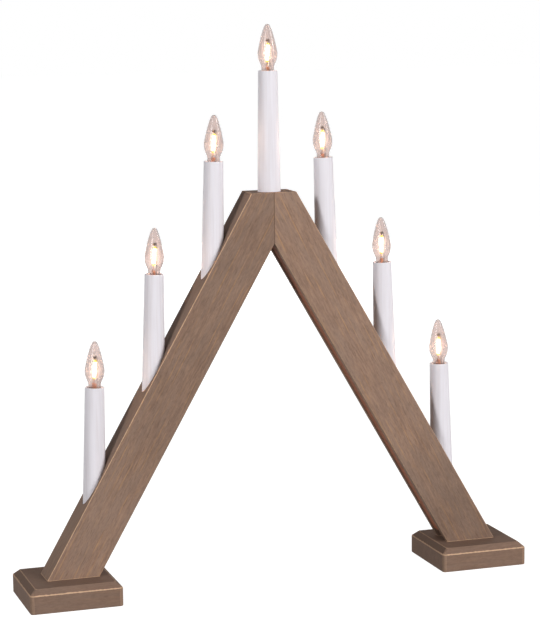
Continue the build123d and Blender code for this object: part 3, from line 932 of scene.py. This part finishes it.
class ARCH_OT_bulbs(bpy.types.Operator):
    """Clear glass, threaded caps and lit filaments for the seven bulbs"""

    bl_idname = "candle_arch.bulbs"
    bl_label = "Bulbs"

    def execute(self, context):
        bulbs = context.scene.candle_arch.bulbs
        segments = bulbs.segments
        glass = glass_finish(bulbs)
        plated = metal_finish("nickel_cap", bulbs.cap, 0.2)
        copper = metal_finish("copper_wire", bulbs.copper, 0.25)
        scorched = metal_finish("scorched_wire", bulbs.clamp, 0.4)
        button = button_finish(bulbs)
        cap = cap_mesh(segments)
        stick, stick_coat = stick_mesh(), stick_finish(bulbs)
        lean = Matrix.Translation((0, 0, STICK_MIDDLE)) @ Matrix.Rotation(STICK_LEAN, 4, "Y")
        stem = turned_solid("glass_stem", STEM_OUTLINE, segments)
        bead = turned_solid("stem_bead", BEAD_OUTLINE, segments)
        clamp = turned_solid("top_clamp", CLAMP_OUTLINE, SMALL_SEGMENTS)
        hook = wire_mesh("support_wire", SUPPORT_WIRE_BENDS, SUPPORT_WIRE_THICKNESS)
        lead = wire_mesh("lead_wire", LEAD_WIRE_BENDS, LEAD_WIRE_THICKNESS)
        # The pieces round the stick, which stand upright in the bulb.
        upright = (
            ("glass_stem", stem, glass, "clear_glass"),
            ("stem_bead", bead, bead_finish(bulbs), "filament"),
            ("top_clamp", clamp, scorched, "filament"),
            ("support_wire", hook, scorched, "filament"),
            ("lead_wire", lead, copper, "filament"),
        )
        for number in CANDLES:
            body, place = f"bulb_{number}", candle_frame(number)
            filament = f"bulb_filament_{number}"
            dress(f"bulb_glass_{number}", glass)
            dress(f"bulb_contact_{number}", button)
            add_piece(f"threaded_cap_{number}", cap, place, body, plated, "nickel_cap", f"bulb_cap_{number}")
            add_piece(f"filament_stick_{number}", stick, place @ lean, body, stick_coat, "filament", filament)
            for name, mesh, finish, slot in upright:
                add_piece(f"{name}_{number}", mesh, place, body, finish, slot, filament)
        return {"FINISHED"}


class ARCH_OT_stage(bpy.types.Operator):
    """Set the camera, the pale floor and the soft lamps"""

    bl_idname = "candle_arch.stage"
    bl_label = "Stage"

    def execute(self, context):
        scene = context.scene
        studio = scene.candle_arch.studio
        scene.view_settings.view_transform = "Standard"
        self.add_camera(scene)
        self.make_world(scene, studio)
        self.make_floor(scene, studio)
        for name, (place, size, setting, share, only_gloss) in LAMPS.items():
            self.add_lamp(scene, name, place, size, share * getattr(studio, setting), only_gloss)
        return {"FINISHED"}

    def add_camera(self, scene):
        data = bpy.data.cameras.new("photo_camera")
        data.lens = CAMERA_LENS
        data.sensor_width = CAMERA_SENSOR
        data.clip_start, data.clip_end = 0.05, 50
        camera = bpy.data.objects.new("photo_camera", data)
        scene.collection.objects.link(camera)
        forward, right = Vector(CAMERA_FORWARD).normalized(), Vector(CAMERA_RIGHT).normalized()
        camera.matrix_world = placement(right, right.cross(forward), -forward, Vector(CAMERA_PLACE))
        scene.camera = camera

    def make_world(self, scene, studio):
        """Even light that looks white behind the arch."""
        world = bpy.data.worlds.new("studio_room")
        scene.world = world
        world.use_nodes = True
        nodes = Nodes(world.node_tree)
        strength = nodes.surroundings(studio.mirrored, studio.room)
        light = nodes.add("Background", {"Color": (1, 1, 1, 1), "Strength": strength})
        nodes.add("OutputWorld", {"Surface": light.outputs[0]})

    def make_floor(self, scene, studio):
        """A floor that takes the arch's shadow and looks nearly white round it."""
        mesh = bpy.data.meshes.new("floor")
        reach = FLOOR_REACH
        corners = [(-reach, -reach, 0), (reach, -reach, 0), (reach, reach, 0), (-reach, reach, 0)]
        mesh.from_pydata(corners, [], [(0, 1, 2, 3)])
        floor = bpy.data.objects.new("floor", mesh)
        floor.location.z = -FLOOR_DROP
        scene.collection.objects.link(floor)
        finish = Finish("pale_floor")
        speckle = finish.noise(finish.place, scale=3.0, detail=2.0)
        body = finish.mix(finish.times(speckle, 0.1), studio.floor, shaded(studio.floor, 0.97))
        pale = finish.add("BsdfPrincipled", {"Base Color": body, "Roughness": 0.8, "Specular IOR Level": 0.1})
        strength = finish.times(finish.surroundings(studio.mirrored, 0.0), 0.95)
        white = finish.add("Emission", {"Color": (1, 1, 1, 1), "Strength": strength})
        both = finish.add("AddShader", {0: pale.outputs[0], 1: white.outputs[0]})
        mesh.materials.append(finish.close(both))

    def add_lamp(self, scene, name, place, size, watts, only_gloss):
        data = bpy.data.lights.new(name, "AREA")
        data.shape = "RECTANGLE"
        data.size, data.size_y = size
        data.energy = watts
        lamp = bpy.data.objects.new(name, data)
        lamp.location = place
        lamp.rotation_euler = (Vector(LAMP_TARGET) - Vector(place)).to_track_quat("-Z", "Y").to_euler()
        lamp.visible_diffuse = not only_gloss
        lamp.visible_glossy = lamp.visible_transmission = only_gloss
        scene.collection.objects.link(lamp)


class ARCH_PT_panel(bpy.types.Panel):
    """Sidebar panel of the candle arch"""

    bl_idname = "ARCH_PT_panel"
    bl_label = "Candle Arch"
    bl_space_type = "VIEW_3D"
    bl_region_type = "UI"
    bl_category = "Candle Arch"

    def draw(self, context):
        settings = context.scene.candle_arch
        for group in ("wood", "strips", "tubes", "bulbs", "studio"):
            box = self.layout.box()
            values = getattr(settings, group)
            for name in values.bl_rna.properties.keys():
                if name not in {"name", "rna_type"}:
                    box.prop(values, name)
        for operator in OPERATORS:
            self.layout.operator(operator.bl_idname)


OPERATORS = (
    ARCH_OT_stage, ARCH_OT_woodwork, ARCH_OT_strips, ARCH_OT_tubes, ARCH_OT_lampholders, ARCH_OT_bulbs,
)
CLASSES = (
    WoodSettings, StripSettings, TubeSettings, BulbSettings, StudioSettings, ArchSettings,
    *OPERATORS, ARCH_PT_panel,
)


def register():
    for made in CLASSES:
        bpy.utils.register_class(made)
    bpy.types.Scene.candle_arch = PointerProperty(type=ArchSettings)


def unregister():
    del bpy.types.Scene.candle_arch
    for made in reversed(CLASSES):
        bpy.utils.unregister_class(made)


def main():
    register()
    bpy.ops.candle_arch.stage()
    bpy.ops.candle_arch.woodwork()
    bpy.ops.candle_arch.strips()
    bpy.ops.candle_arch.tubes()
    bpy.ops.candle_arch.lampholders()
    bpy.ops.candle_arch.bulbs()


if __name__ == "__main__":
    main()
